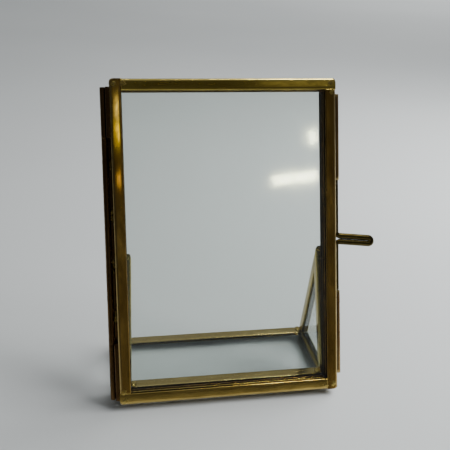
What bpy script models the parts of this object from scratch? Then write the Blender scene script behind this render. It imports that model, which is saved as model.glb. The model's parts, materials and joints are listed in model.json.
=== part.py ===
"""Standing glass photo frame: a hinged glass door closes on a fixed glass frame that leans back on a
horizontal glass base with two triangular glass sides. Every pane sits in folded brass channel.

Panel coordinates: u runs to the right, w backwards through the two frames and v up their slope.
Metres, +Z up. The origin is under the middle of the whole object's box, on the table.
"""
import math

import bmesh
import bpy
from mathutils import Matrix, Vector

MM = 0.001

# Driving dimensions
PANEL_WIDTH = 112 * MM
PANEL_HEIGHT = 159 * MM
LEAN = math.radians(20)
CHANNEL = 4.2 * MM            # thickness of a folded channel, front to back
SHEET = 0.6 * MM              # brass sheet
CLEARANCE = 0.3 * MM          # between pieces that touch or slide
DOOR_LIP = 5.5 * MM           # how far the channel covers the door's glass
REAR_LIP = 6.0 * MM
SIDE_LIP = 5.2 * MM
BASE_LIP = 6.3 * MM
BASE_HEIGHT = 5.0 * MM         # thickness of the base's channels, standing on the table
PANEL_GAP = 1.0 * MM          # between the closed door and the rear frame
EDGE_ROUND = 1.3 * MM         # rounded long edge of a channel
CORNER_ROUND = 1.5 * MM       # rounded corner where a channel runs through
SLIM_ROUND = 0.9 * MM          # rounded edge of a base or side channel
GLASS_CORNER = 1.5 * MM

BASE_BACK = 57.2 * MM         # back of the base, behind the door's lower front edge
SIDE_INSET = 1.9 * MM         # from the frame's outer side to the side pane's foot
SIDE_TILT = math.radians(1.8)  # the sides lean in towards their tops
APEX_HEIGHT = 69.5 * MM       # top of the triangular sides

HINGE_OUT = 2.9 * MM          # hinge axis, left of the frames
HINGE_RADIUS = 1.55 * MM
HINGE_BORE = 0.95 * MM
HINGE_PIN = 0.65 * MM
HINGE_BOTTOM = 2.0 * MM
HINGE_TOP = 155.2 * MM
LOWER_KNUCKLE = 28 * MM
UPPER_KNUCKLE = 24 * MM
LEAF_REACH = 3.6 * MM         # from the hinge axis to the leaf's flange, which meets the frame's side
ROLL_ANGLE = math.radians(290)

LATCH_OUT = 1.35 * MM         # bolt axis, right of the frames
LATCH_RADIUS = 1.6 * MM
LATCH_BORE = 1.3 * MM
WIRE = 1.05 * MM
UPPER_TUBE = (108.0 * MM, 151.4 * MM)
LOWER_TUBE = (7.2 * MM, 50.8 * MM)
HANDLE_HEIGHT = 76.7 * MM
HANDLE_LENGTH = 20.3 * MM
HANDLE_PITCH = 2.4 * MM       # between the two runs of the hairpin
HANDLE_BEND = 1.9 * MM
HANDLE_DROOP = math.tan(math.radians(3))
BOLT_IN_TUBE = 26 * MM

SOLDER = 2.2 * MM             # radius of a solder bead
BEAD_FLATNESS = 0.5
SLOT_RUNOUT = 5 * MM          # how far the base's glass slot runs past its channels

# Fineness of the rounded shapes
ROUND_STEPS = 3
ROLL_STEPS = 22
BEND_STEPS = 6
PIN_SEGMENTS = 16
BALL_SEGMENTS = 16
TUBE_SEGMENTS = 24
SHARP_ANGLE = math.radians(35)
BEAD_SHARP_ANGLE = math.radians(50)

# Derived places
DOOR_FRONT = 0.0
REAR_FRONT = CHANNEL + PANEL_GAP
PANEL_BACK = REAR_FRONT + CHANNEL
MID_GAP = PANEL_BACK / 2
LIFT = PANEL_BACK * math.sin(LEAN)
BASE_FRONT = PANEL_BACK * math.cos(LEAN) + BASE_HEIGHT * math.tan(LEAN) + CLEARANCE
SIDE_SWAY = BASE_HEIGHT * math.tan(SIDE_TILT)  # how far the sides lean in over the base's height
SIDE_DROP = CHANNEL / 2 * math.sin(SIDE_TILT)
BOLT_U = PANEL_WIDTH + LATCH_OUT
LEFT_END = -HINGE_OUT - HINGE_RADIUS
RIGHT_END = BOLT_U + HANDLE_LENGTH
BACK_END = PANEL_HEIGHT * math.sin(LEAN) + PANEL_BACK * math.cos(LEAN)
CENTRE = Vector(((LEFT_END + RIGHT_END) / 2, BACK_END / 2, 0))


def clear_scene():
    for item in list(bpy.data.objects):
        bpy.data.objects.remove(item, do_unlink=True)


def brass(name, colour, roughness):
    material = bpy.data.materials.new(name)
    material.use_nodes = True
    shader = material.node_tree.nodes["Principled BSDF"]
    shader.inputs["Base Color"].default_value = (*colour, 1)
    shader.inputs["Metallic"].default_value = 1
    shader.inputs["Roughness"].default_value = roughness
    return material


def glass(name, colour):
    material = bpy.data.materials.new(name)
    material.use_nodes = True
    shader = material.node_tree.nodes["Principled BSDF"]
    shader.inputs["Base Color"].default_value = (*colour, 1)
    shader.inputs["Metallic"].default_value = 0
    shader.inputs["Roughness"].default_value = 0.03
    shader.inputs["Transmission Weight"].default_value = 1
    shader.inputs["Alpha"].default_value = 0.35
    return material


# The three planes that outlines are drawn in
def panel_plane(u, v, w):
    return Vector((u, w, v))


def base_plane(x, y, z):
    return Vector((x, y, z))


def side_plane(y, z, x):
    return Vector((x, y, z))


def hinge_plane(u, w, v):
    return Vector((u, w, v))


def add_empty(name, matrix):
    empty = bpy.data.objects.new(name, None)
    empty.empty_display_size = 10 * MM
    empty.matrix_world = matrix
    bpy.context.collection.objects.link(empty)
    return empty


def add_object(name, data, material, parent, offset=Vector()):
    item = bpy.data.objects.new(name, data)
    bpy.context.collection.objects.link(item)
    item.parent = parent
    item.location = offset
    data.materials.append(material)
    return item


def finish_mesh(name, shape, sharp_angle=SHARP_ANGLE):
    """Turn a bmesh into a mesh with smooth rounds and sharp corners."""
    bmesh.ops.recalc_face_normals(shape, faces=shape.faces)
    mesh = bpy.data.meshes.new(name)
    shape.to_mesh(mesh)
    shape.free()
    mesh.shade_smooth()
    mesh.set_sharp_from_angle(angle=sharp_angle)
    return mesh


def round_corners(outline, radii, rounded_sides):
    """Return (point, rounded) pairs; rounded tells whether the side after that point has a rounded edge."""
    result = []
    count = len(outline)
    for index, corner in enumerate(outline):
        radius = radii[index]
        side_before = rounded_sides[index - 1]
        side_after = rounded_sides[index]
        if radius == 0:
            result.append((Vector(corner), side_after))
            continue
        before = (Vector(outline[index - 1]) - Vector(corner)).normalized()
        after = (Vector(outline[(index + 1) % count]) - Vector(corner)).normalized()
        half = before.angle(after) / 2
        centre = Vector(corner) + (before + after).normalized() * radius / math.sin(half)
        start = (Vector(corner) + before * radius / math.tan(half) - centre).normalized()
        end = (Vector(corner) + after * radius / math.tan(half) - centre).normalized()
        for step in range(ROUND_STEPS + 1):
            arm = start.slerp(end, step / ROUND_STEPS) * radius
            is_last = step == ROUND_STEPS
            result.append((centre + arm, side_after if is_last else side_before and side_after))
    return result


def prism(name, outline, low, high, plane, radii=None, rounded_sides=None, edge_round=EDGE_ROUND):
    """Extrude an outline from low to high, with rounded corners and rounded edges where asked."""
    count = len(outline)
    points = round_corners(outline, radii or [0] * count, rounded_sides or [False] * count)
    shape = bmesh.new()
    bottom = [shape.verts.new(plane(point.x, point.y, low)) for point, _ in points]
    face = shape.faces.new(bottom)
    extruded = bmesh.ops.extrude_face_region(shape, geom=[face])
    top = [item for item in extruded["geom"] if isinstance(item, bmesh.types.BMVert)]
    bmesh.ops.translate(shape, verts=top, vec=plane(0, 0, high - low))
    edges = set()
    for index, (_, rounded) in enumerate(points):
        if rounded:
            near, far = bottom[index], bottom[(index + 1) % len(bottom)]
            edges.add(shape.edges.get((near, far)))
            edges.add(opposite_edge(shape, near, far, plane(0, 0, high - low)))
    if edges:
        bmesh.ops.bevel(shape, geom=list(edges), offset=edge_round, segments=ROUND_STEPS,
                        profile=0.5, affect="EDGES", clamp_overlap=True)
    return finish_mesh(name, shape)


def opposite_edge(shape, near, far, step):
    """The edge of the extruded outline that lies opposite near and far."""
    ends = []
    for vert in (near, far):
        for edge in vert.link_edges:
            other = edge.other_vert(vert)
            if (other.co - vert.co - step).length < 1e-6:
                ends.append(other)
    return shape.edges.get(ends)


def add_cutter(name, mesh, parent, offset=Vector()):
    cutter = bpy.data.objects.new(name, mesh)
    bpy.context.collection.objects.link(cutter)
    cutter.parent = parent
    cutter.location = offset
    cutter.hide_render = True
    cutter.display_type = "WIRE"
    return cutter


def cut(item, cutter):
    modifier = item.modifiers.new("glass slot", "BOOLEAN")
    modifier.operation = "DIFFERENCE"
    modifier.solver = "EXACT"
    modifier.object = cutter


def rectangle(left, low, right, high):
    return [(left, low), (right, low), (right, high), (left, high)]


def framed_pane(prefix, front, lip, metal, pane_material, parent, offset):
    """A rectangular pane in four channels. Each channel runs through at one end and butts at the other."""
    wide, tall = PANEL_WIDTH, PANEL_HEIGHT
    slot_outline = rectangle(SHEET, SHEET, wide - SHEET, tall - SHEET)
    slot_mesh = prism(prefix + "_slot", slot_outline, front + SHEET, front + CHANNEL - SHEET, panel_plane,
                      radii=[GLASS_CORNER] * 4)
    slot = add_cutter(prefix + "_slot", slot_mesh, parent, offset)
    butt = lip + CLEARANCE
    channels = {
        "bottom_channel": rectangle(0, 0, wide - butt, lip),
        "right_channel": [(wide, 0), (wide, tall - butt), (wide - lip, tall - butt), (wide - lip, 0)],
        "top_channel": [(wide, tall), (butt, tall), (butt, tall - lip), (wide, tall - lip)],
        "left_channel": [(0, tall), (0, butt), (lip, butt), (lip, tall)],
    }
    for name, outline in channels.items():
        mesh = prism(f"{prefix}_{name}", outline, front, front + CHANNEL, panel_plane,
                     radii=[CORNER_ROUND, 0, 0, 0], rounded_sides=[True, False, False, True])
        cut(add_object(mesh.name, mesh, metal, parent, offset), slot)
    edge = SHEET + CLEARANCE
    pane = prism(prefix + "_glass", rectangle(edge, edge, wide - edge, tall - edge), front + edge,
                 front + CHANNEL - edge, panel_plane, radii=[GLASS_CORNER] * 4)
    add_object(pane.name, pane, pane_material, parent, offset)


def rolled_knuckle(name, low, high, leaf_side, metal, parent, offset):
    """A strip rolled round the hinge pin, with a leaf whose flange meets the frame's outer side.

    leaf_side is 1 for a leaf that runs back to the rear frame and -1 for one on the door.
    """
    thickness = HINGE_RADIUS - HINGE_BORE
    flange_end = HINGE_OUT - CLEARANCE
    outer, inner = [], []
    for step in range(ROLL_STEPS + 1):
        angle = -ROLL_ANGLE * step / ROLL_STEPS
        outer.append((HINGE_RADIUS * math.cos(angle), HINGE_RADIUS * math.sin(angle)))
        inner.append((HINGE_BORE * math.cos(angle), HINGE_BORE * math.sin(angle)))
    leaf = [(HINGE_BORE, LEAF_REACH), (flange_end, LEAF_REACH), (flange_end, LEAF_REACH - thickness),
            (HINGE_RADIUS, LEAF_REACH - thickness)]
    outline = leaf + outer + inner[::-1]
    outline = [(-HINGE_OUT + u, MID_GAP + w * leaf_side) for u, w in outline]
    mesh = prism(name, outline, low, high, hinge_plane)
    add_object(name, mesh, metal, parent, offset)


def ring_tube(name, low, high, metal, parent, offset):
    """A straight tube round the bolt's axis, turned from a rectangular section."""
    shape = bmesh.new()
    section = [(LATCH_BORE, low), (LATCH_RADIUS, low), (LATCH_RADIUS, high), (LATCH_BORE, high)]
    corners = [shape.verts.new((radius, 0, height)) for radius, height in section]
    edges = [shape.edges.new((corners[index], corners[(index + 1) % 4])) for index in range(4)]
    bmesh.ops.spin(shape, geom=corners + edges, cent=(0, 0, 0), axis=(0, 0, 1), angle=2 * math.pi,
                   steps=TUBE_SEGMENTS, use_merge=True)
    bmesh.ops.translate(shape, verts=shape.verts, vec=(BOLT_U, MID_GAP, 0))
    add_object(name, finish_mesh(name, shape), metal, parent, offset)


def hinge_pin(metal, parent, offset):
    shape = bmesh.new()
    length = HINGE_TOP - HINGE_BOTTOM
    place = Matrix.Translation((-HINGE_OUT, MID_GAP, HINGE_BOTTOM + length / 2))
    bmesh.ops.create_cone(shape, cap_ends=True, segments=PIN_SEGMENTS, radius1=HINGE_PIN,
                          radius2=HINGE_PIN, depth=length, matrix=place)
    add_object("hinge_pin", finish_mesh("hinge_pin", shape), metal, parent, offset)


def bolt_path():
    """Points of the bent wire, from its top end down, measured from the handle's middle on the axis."""
    half = HANDLE_PITCH / 2
    tip = HANDLE_LENGTH - WIRE - half
    upper_end = UPPER_TUBE[0] + BOLT_IN_TUBE - HANDLE_HEIGHT
    lower_end = LOWER_TUBE[1] + CLEARANCE - HANDLE_HEIGHT
    points = [(0.0, upper_end)]
    for step in range(BEND_STEPS + 1):
        angle = math.pi / 2 * step / BEND_STEPS
        points.append((HANDLE_BEND * (1 - math.cos(angle)), half + HANDLE_BEND * (1 - math.sin(angle))))
    for step in range(2 * BEND_STEPS + 1):
        angle = math.pi / 2 - math.pi * step / (2 * BEND_STEPS)
        points.append((tip + half * math.cos(angle), half * math.sin(angle)))
    for step in range(BEND_STEPS, -1, -1):
        angle = math.pi / 2 * step / BEND_STEPS
        points.append((HANDLE_BEND * (1 - math.cos(angle)), -half - HANDLE_BEND * (1 - math.sin(angle))))
    points.append((0.0, lower_end))
    return [(out, height - HANDLE_DROOP * out) for out, height in points]


def latch_bolt(metal, parent):
    """One length of wire: a straight bolt with its middle bent out into a hairpin handle."""
    curve = bpy.data.curves.new("latch_bolt", "CURVE")
    curve.dimensions = "3D"
    curve.bevel_depth = WIRE
    curve.bevel_resolution = 3
    curve.use_fill_caps = True
    path = bolt_path()
    spline = curve.splines.new("POLY")
    spline.points.add(len(path) - 1)
    for point, (out, height) in zip(spline.points, path):
        point.co = (out, 0, height, 1)
    add_object("latch_bolt", curve, metal, parent)


def inset_triangle(corners, distance):
    """Move every side of a counter-clockwise triangle inwards by distance."""
    middle = sum((Vector(corner) for corner in corners), Vector((0, 0))) / 3
    sides = []
    for index in range(3):
        start, end = Vector(corners[index]), Vector(corners[(index + 1) % 3])
        along = (end - start).normalized()
        inward = Vector((-along.y, along.x))
        if inward.dot(middle - start) < 0:
            inward = -inward
        sides.append((start + inward * distance, along))
    result = []
    for index in range(3):
        (start, along), (other, across) = sides[index - 1], sides[index]
        gap = other - start
        reach = (gap.x * across.y - gap.y * across.x) / (along.x * across.y - along.y * across.x)
        result.append(start + along * reach)
    return result


def triangular_side(prefix, metal, pane_material, parent):
    """A triangular pane in three mitred channels, standing on the table behind the rear frame."""
    left, right = -CHANNEL / 2, CHANNEL / 2
    front_foot = PANEL_BACK * math.cos(LEAN) + CLEARANCE / math.cos(LEAN)
    front_low = (front_foot, 0)
    apex = (front_foot + APEX_HEIGHT * math.tan(LEAN), APEX_HEIGHT)
    back_low = (BASE_BACK, 0)
    corners = [front_low, back_low, apex]
    inner = inset_triangle(corners, SIDE_LIP)
    slot_mesh = prism(prefix + "_slot", inset_triangle(corners, SHEET), left + SHEET, right - SHEET,
                      side_plane)
    slot = add_cutter(prefix + "_slot", slot_mesh, parent)
    for index, name in enumerate(("foot_channel", "sloping_channel", "upright_channel")):
        following = (index + 1) % 3
        start, end = Vector(corners[index]), Vector(corners[following])
        along = (end - start).normalized()
        start_half = along.angle(Vector(inner[index]) - start)
        end_half = (-along).angle(Vector(inner[following]) - end)
        start_shift = along * (CLEARANCE / 2 / math.sin(start_half))
        end_shift = along * (-CLEARANCE / 2 / math.sin(end_half))
        outline = [start + start_shift, end + end_shift, inner[following] + end_shift,
                   inner[index] + start_shift]
        mesh = prism(f"{prefix}_{name}", outline, left, right, side_plane,
                     rounded_sides=[True, False, False, False], edge_round=SLIM_ROUND)
        cut(add_object(mesh.name, mesh, metal, parent), slot)
    pane = prism(prefix + "_glass", inset_triangle(corners, SHEET + CLEARANCE),
                 left + SHEET + CLEARANCE, right - SHEET - CLEARANCE, side_plane)
    add_object(pane.name, pane, pane_material, parent)


def glass_base(metal, pane_material, parent):
    left = SIDE_INSET + CHANNEL + SIDE_SWAY + CLEARANCE
    right = PANEL_WIDTH - left
    slot_outline = rectangle(left - SLOT_RUNOUT, BASE_FRONT + SHEET, right + SLOT_RUNOUT, BASE_BACK - SHEET)
    slot_mesh = prism("base_slot", slot_outline, SHEET, BASE_HEIGHT - SHEET, base_plane)
    slot = add_cutter("base_slot", slot_mesh, parent)
    front_outline = [(left, BASE_FRONT), (right, BASE_FRONT), (right, BASE_FRONT + BASE_LIP),
                     (left, BASE_FRONT + BASE_LIP)]
    back_outline = [(right, BASE_BACK), (left, BASE_BACK), (left, BASE_BACK - BASE_LIP),
                    (right, BASE_BACK - BASE_LIP)]
    for name, outline in (("base_front_channel", front_outline), ("base_back_channel", back_outline)):
        mesh = prism(name, outline, 0, BASE_HEIGHT, base_plane, rounded_sides=[True, False, False, False],
                     edge_round=SLIM_ROUND)
        cut(add_object(name, mesh, metal, parent), slot)
    edge = SHEET + CLEARANCE
    pane = prism("base_glass", rectangle(left, BASE_FRONT + edge, right, BASE_BACK - edge), edge,
                 BASE_HEIGHT - edge, base_plane)
    add_object("base_glass", pane, pane_material, parent)


def solder_bead(name, corner, side, metal, parent):
    """A quarter of a flattened ball in the corner between a base channel and a side's foot."""
    shape = bmesh.new()
    bmesh.ops.create_uvsphere(shape, u_segments=BALL_SEGMENTS, v_segments=BALL_SEGMENTS // 2, radius=SOLDER)
    for normal in ((-side, 0, 0), (0, 0, -1)):
        everything = shape.verts[:] + shape.edges[:] + shape.faces[:]
        bmesh.ops.bisect_plane(shape, geom=everything, plane_co=(0, 0, 0), plane_no=normal, clear_outer=True)
        rim = [edge for edge in shape.edges if edge.is_boundary]
        bmesh.ops.holes_fill(shape, edges=rim, sides=0)
    bmesh.ops.scale(shape, verts=shape.verts, vec=(1, 1, BEAD_FLATNESS))
    mesh = finish_mesh(name, shape, BEAD_SHARP_ANGLE)
    add_object(name, mesh, metal, parent, Vector(corner))


def solder_beads(metal, parent):
    height = BASE_HEIGHT + CLEARANCE
    places = {"front": BASE_FRONT + BASE_LIP / 2, "back": BASE_BACK - BASE_LIP / 2}
    for row, depth in places.items():
        left = SIDE_INSET + CHANNEL + 2 * SIDE_SWAY + CLEARANCE
        right = PANEL_WIDTH - left
        solder_bead(f"solder_{row}_left", (left, depth, height), 1, metal, parent)
        solder_bead(f"solder_{row}_right", (right, depth, height), -1, metal, parent)


def main():
    clear_scene()
    dark_brass = brass("dark_brass", (0.30, 0.215, 0.075), 0.34)
    tube_brass = brass("tube_brass", (0.26, 0.185, 0.06), 0.36)
    solder = brass("solder", (0.38, 0.33, 0.20), 0.42)
    clear_glass = glass("clear_glass", (0.86, 0.90, 0.89))

    stand = add_empty("stand_datum", Matrix.Translation(-CENTRE))
    panel = Matrix.Translation(Vector((0, 0, LIFT)) - CENTRE) @ Matrix.Rotation(-LEAN, 4, "X")
    frame_datum = add_empty("rear_frame_datum", panel)
    hinge_place = Vector((-HINGE_OUT, MID_GAP, 0))
    hinge_axis = add_empty("door_hinge_axis", panel @ Matrix.Translation(hinge_place))
    bolt_place = Vector((BOLT_U, MID_GAP, HANDLE_HEIGHT))
    bolt_axis = add_empty("latch_bolt_axis", panel @ Matrix.Translation(bolt_place))

    framed_pane("door", DOOR_FRONT, DOOR_LIP, dark_brass, clear_glass, hinge_axis, -hinge_place)
    framed_pane("rear", REAR_FRONT, REAR_LIP, dark_brass, clear_glass, frame_datum, Vector())

    low_split = HINGE_BOTTOM + LOWER_KNUCKLE
    high_split = HINGE_TOP - UPPER_KNUCKLE
    rolled_knuckle("door_lower_knuckle", HINGE_BOTTOM, low_split, -1, tube_brass, hinge_axis, -hinge_place)
    rolled_knuckle("door_upper_knuckle", high_split, HINGE_TOP, -1, tube_brass, hinge_axis, -hinge_place)
    rolled_knuckle("rear_middle_knuckle", low_split + CLEARANCE, high_split - CLEARANCE, 1, tube_brass,
                   frame_datum, Vector())
    hinge_pin(tube_brass, frame_datum, Vector())

    ring_tube("rear_latch_tube", *UPPER_TUBE, tube_brass, frame_datum, Vector())
    ring_tube("door_latch_tube", *LOWER_TUBE, tube_brass, hinge_axis, -hinge_place)
    latch_bolt(tube_brass, bolt_axis)

    glass_base(dark_brass, clear_glass, stand)
    for prefix, foot, tilt in (("left_side", SIDE_INSET + CHANNEL / 2, SIDE_TILT),
                               ("right_side", PANEL_WIDTH - SIDE_INSET - CHANNEL / 2, -SIDE_TILT)):
        place = Matrix.Translation(Vector((foot, 0, SIDE_DROP)) - CENTRE) @ Matrix.Rotation(tilt, 4, "Y")
        triangular_side(prefix, dark_brass, clear_glass, add_empty(prefix + "_datum", place))
    solder_beads(solder, stand)


main()
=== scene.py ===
import json
import math

import bmesh
import bpy
from mathutils import Matrix, Vector, noise


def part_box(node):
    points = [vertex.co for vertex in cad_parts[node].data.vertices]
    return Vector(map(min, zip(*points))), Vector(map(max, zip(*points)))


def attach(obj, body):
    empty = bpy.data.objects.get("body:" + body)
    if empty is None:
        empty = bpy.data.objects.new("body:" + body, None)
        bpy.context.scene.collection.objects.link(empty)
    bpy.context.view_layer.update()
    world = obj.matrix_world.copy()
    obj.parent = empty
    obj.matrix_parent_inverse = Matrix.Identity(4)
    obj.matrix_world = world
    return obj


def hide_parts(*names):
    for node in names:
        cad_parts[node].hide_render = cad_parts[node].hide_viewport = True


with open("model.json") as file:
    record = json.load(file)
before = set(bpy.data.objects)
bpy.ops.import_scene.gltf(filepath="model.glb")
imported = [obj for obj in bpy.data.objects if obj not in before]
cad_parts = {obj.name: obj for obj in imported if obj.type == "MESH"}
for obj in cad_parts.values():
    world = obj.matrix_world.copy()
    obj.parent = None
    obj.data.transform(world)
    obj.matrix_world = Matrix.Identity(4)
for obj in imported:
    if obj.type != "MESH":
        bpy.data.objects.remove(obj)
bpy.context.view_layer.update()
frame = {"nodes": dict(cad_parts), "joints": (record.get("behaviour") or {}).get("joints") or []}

MM = 0.001

# Folded channel
SHEET = 0.6 * MM
FOLD_RADIUS = 1.25 * MM
LIP_PRESS = 0.12 * MM         # how far the lips' edges are pressed towards the glass
PRESS_WIDTH = 1.5 * MM
CROWN = 0.02 * MM             # outward bow of a lip
BASE_LOWER_LIP = 2.2 * MM     # the base channels' lip under the glass
CORNER_RADIUS = 1.5 * MM      # outer corner of a channel that runs through
SEAM_GAP = 0.1 * MM           # left between two channels that meet, and filled by solder
STATION = 2.4 * MM            # spacing of the rings along a channel
FOLD_WEAR = 1.5               # how bright the folds are rubbed, cut off at 1
EDGE_WEAR = 0.15              # the same for the lips' edges

# Unevenness from folding by hand: size and wavelength
WAVE = 0.045 * MM             # sway of the whole channel
WAVE_LENGTH = 17 * MM
TWIST = 0.011                 # radians
TWIST_LENGTH = 21 * MM
RIPPLE = 0.004 * MM           # along the lips' edges
RIPPLE_LENGTH = 5 * MM
CALM_END = 6 * MM             # the unevenness fades out over this length at each end

# Solder: sizes of lumps are half their length, width and height
BEAD = 0.3 * MM
BEAD_PROUD = 0.12 * MM        # how far a seam's bead is moved out of the sheet
PLUG_DEPTH = 1.1 * MM
PLUG_INSET = 0.06 * MM
CORNER_LUMP = (1.9 * MM, 1.5 * MM, 0.2 * MM)
SEAM_LUMP = (1.5 * MM, 1.2 * MM, 0.2 * MM)
FOOT_LUMP = (1.2 * MM, 1.5 * MM, 2.2 * MM)
APEX_LUMP = (2.1 * MM, 1.0 * MM, 2.1 * MM)
HINGE_PAD = (0.95 * MM, 3.2 * MM)
PAD_SPACING = 24 * MM
TUBE_LUMP = (0.6 * MM, 0.5 * MM, 2.8 * MM)
TUBE_LUMP_DEPTH = 0.75 * MM   # how far a latch tube's solder lies behind the face of its frame

# Hinge and latch
KNUCKLE_SHEET = 0.55 * MM
KNUCKLE_SLACK = 0.13 * MM     # taken up at each split between two knuckles
KNUCKLE_BEND = 0.5 * MM       # radius of the bend in a leaf
FLANGE_RUNOUT = 1.8 * MM      # the rear leaf's flange reaches past its knuckle behind the door's leaves
ROLL_ANGLE = math.radians(290)
TUBE_WALL = 0.32 * MM
TUBE_RIM = 0.12 * MM          # height of the rounding at a latch tube's mouth
WIRE = 1.2 * MM               # radius of the bolt's wire
HANDLE_WIRE = 1.5 * MM        # the same in the hairpin handle
HANDLE_BEND = 1.9 * MM        # radius of the bend from the bolt into the handle
HANDLE_DROOP = math.tan(math.radians(6))
WIRE_END = 0.25               # height of the dome on a wire's end, as a share of its radius
ROUND_STEPS = 24              # sides of a wire

# Camera that looks down at the object from the front
CAMERA_PLACE = Vector((-0.0699, -0.3121, 0.2308))
CAMERA_YAW = math.radians(-10.872)
CAMERA_PITCH = math.radians(-24.721)
CAMERA_ROLL = math.radians(-2.472)
CAMERA_LENS = 56.28
CAMERA_SENSOR = 36.0

# Room that the brass reflects: brightness grows over a stretch of direction, from low to high
ROOM_RIGHT = (-0.05, 0.6, 0.07)
ROOM_TOP = (0.5, 0.95, 0.5)
ROOM_PATCHES = 0.12
ROOM_BACK = (0.25, 0.85, 0.34)
ROOM_BASE = 0.04
ROOM_AS_LIGHT = 0.15          # share of the room's light that falls on dull surfaces
ROOM_COLOUR = (0.93, 0.98, 1.0, 1)
BACKGROUND = (0.27, 0.28, 0.285, 1)

# Lamps seen as reflections: distance from the spot that mirrors them
LAMP_DISTANCE = 1.6
CLOSE = 0.05
LAMP_YELLOW = (1, 0.98, 0.62)


# --------------------------------------------------------------------------------------------------
# Directions and sizes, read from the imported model

def joint(name):
    return next(item for item in frame["joints"] if item["name"] == name)


RIGHT = Vector((1, 0, 0))
UP = -Vector(joint("door_swing")["axis"]).normalized()   # up the leaning panel
BACK = UP.cross(RIGHT)                                   # through the panel, away from the front
TOP = Vector((0, 0, 1))
AWAY = Vector((0, 1, 0))


def node_points(node):
    return [vert.co.copy() for vert in frame["nodes"][node].data.vertices]


def extent(node, direction):
    """Lowest and highest position of a CAD node along a direction."""
    places = [point.dot(direction) for point in node_points(node)]
    return min(places), max(places)


def node_centre(node):
    low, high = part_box(node)
    return (low + high) / 2


def from_axes(along, inward, across, axes):
    """A point from its positions along three perpendicular directions."""
    return axes[0] * along + axes[1] * inward + axes[2] * across


# --------------------------------------------------------------------------------------------------
# Mesh making

def finish_mesh(name, shape, attributes=None, sharp=40):
    """Turn a bmesh into an object; attributes maps a name to one value per vertex."""
    bmesh.ops.recalc_face_normals(shape, faces=shape.faces)
    mesh = bpy.data.meshes.new(name)
    shape.to_mesh(mesh)
    shape.free()
    mesh.shade_smooth()
    mesh.set_sharp_from_angle(angle=math.radians(sharp))
    for label, values in (attributes or {}).items():
        kind = "FLOAT_VECTOR" if isinstance(values[0], Vector) else "FLOAT"
        layer = mesh.attributes.new(label, kind, "POINT")
        for item, value in zip(layer.data, values):
            if kind == "FLOAT":
                item.value = value
            else:
                item.vector = value
    piece = bpy.data.objects.new(name, mesh)
    bpy.context.scene.collection.objects.link(piece)
    return piece


def bridge_rings(shape, rings, closed=True):
    """Join rings of points by quads and return the rings of vertices."""
    verts = [[shape.verts.new(point) for point in ring] for ring in rings]
    count = len(verts[0])
    last = count if closed else count - 1
    for near, far in zip(verts, verts[1:]):
        for index in range(last):
            following = (index + 1) % count
            shape.faces.new((near[index], near[following], far[following], far[index]))
    return verts


def cap_strip(shape, ring):
    """Close the end of a bent sheet by quads between its outer and inner side."""
    count = len(ring)
    for index in range(count // 2 - 1):
        shape.faces.new((ring[index], ring[index + 1], ring[count - 2 - index], ring[count - 1 - index]))


def strip_outline(midline, thickness, tip_steps=2):
    """Closed outline of a sheet bent along a line of 2-D points, with rounded edges.

    Point i lies opposite point count - 1 - i, on the other side of the sheet.
    """
    half = thickness / 2
    normals = []
    for index in range(len(midline)):
        before = midline[max(index - 1, 0)]
        after = midline[min(index + 1, len(midline) - 1)]
        tangent = (after - before).normalized()
        normals.append(Vector((-tangent.y, tangent.x)))
    left = [point + normal * half for point, normal in zip(midline, normals)]
    right = [point - normal * half for point, normal in zip(midline, normals)]

    def tip(point, normal, outward):
        arc = []
        for step in range(1, 2 * tip_steps + 1):
            angle = math.pi * step / (2 * tip_steps + 1)
            arc.append(point + normal * half * math.cos(angle) + outward * half * math.sin(angle))
        return arc

    end_out = (midline[-1] - midline[-2]).normalized()
    start_out = (midline[0] - midline[1]).normalized()
    end_arc = tip(midline[-1], normals[-1], end_out)
    start_arc = tip(midline[0], -normals[0], start_out)
    return start_arc[tip_steps:] + left + end_arc + right[::-1] + start_arc[:tip_steps]


def girths(outline):
    """Distance round an outline at each of its points."""
    distance, result = 0.0, []
    for index, point in enumerate(outline):
        if index:
            distance += (point - outline[index - 1]).length
        result.append(distance)
    return result


def seed_of(name):
    """A number from a name, so that each piece has its own unevenness and the same on every run."""
    return sum((index + 1) * ord(letter) for index, letter in enumerate(name)) % 997 / 10


def wave(seed, along, size=WAVE, length=WAVE_LENGTH):
    """Smooth unevenness at a distance along a piece: long waves with smaller, shorter ones on them."""
    long_wave = noise.noise(Vector((along / length, seed, 0)))
    short_wave = noise.noise(Vector((along / length * 2.7, seed, 5)))
    return size * (long_wave + 0.4 * short_wave)


# --------------------------------------------------------------------------------------------------
# Folded brass channel

def channel_midline(lip, depth, near_lip=None):
    """Middle of the bent sheet: near lip from its edge, fold, outer wall, fold, far lip to its edge.

    Points are (inward, across). The near lip is as long as the far one unless near_lip says otherwise.
    """
    near_lip = near_lip or lip
    radius = FOLD_RADIUS - SHEET / 2
    lip_steps, arc_steps = 9, 8

    def half(reach):
        line = []
        for step in range(lip_steps):
            share = step / lip_steps
            place = reach - SHEET / 2 - share * (reach - SHEET / 2 - FOLD_RADIUS)
            pressed = max(0.0, 1 - (reach - place) / PRESS_WIDTH)
            bow = math.sin(math.pi * share) * CROWN
            line.append(Vector((place, SHEET / 2 + LIP_PRESS * pressed ** 2 - bow)))
        for step in range(arc_steps + 1):
            angle = math.pi / 2 * step / arc_steps
            place = FOLD_RADIUS - radius * math.sin(angle)
            line.append(Vector((place, FOLD_RADIUS - radius * math.cos(angle))))
        return line

    far = [Vector((point.x, depth - point.y)) for point in half(lip)[::-1]]
    return half(near_lip) + [Vector((SHEET / 2, depth / 2))] + far


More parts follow.
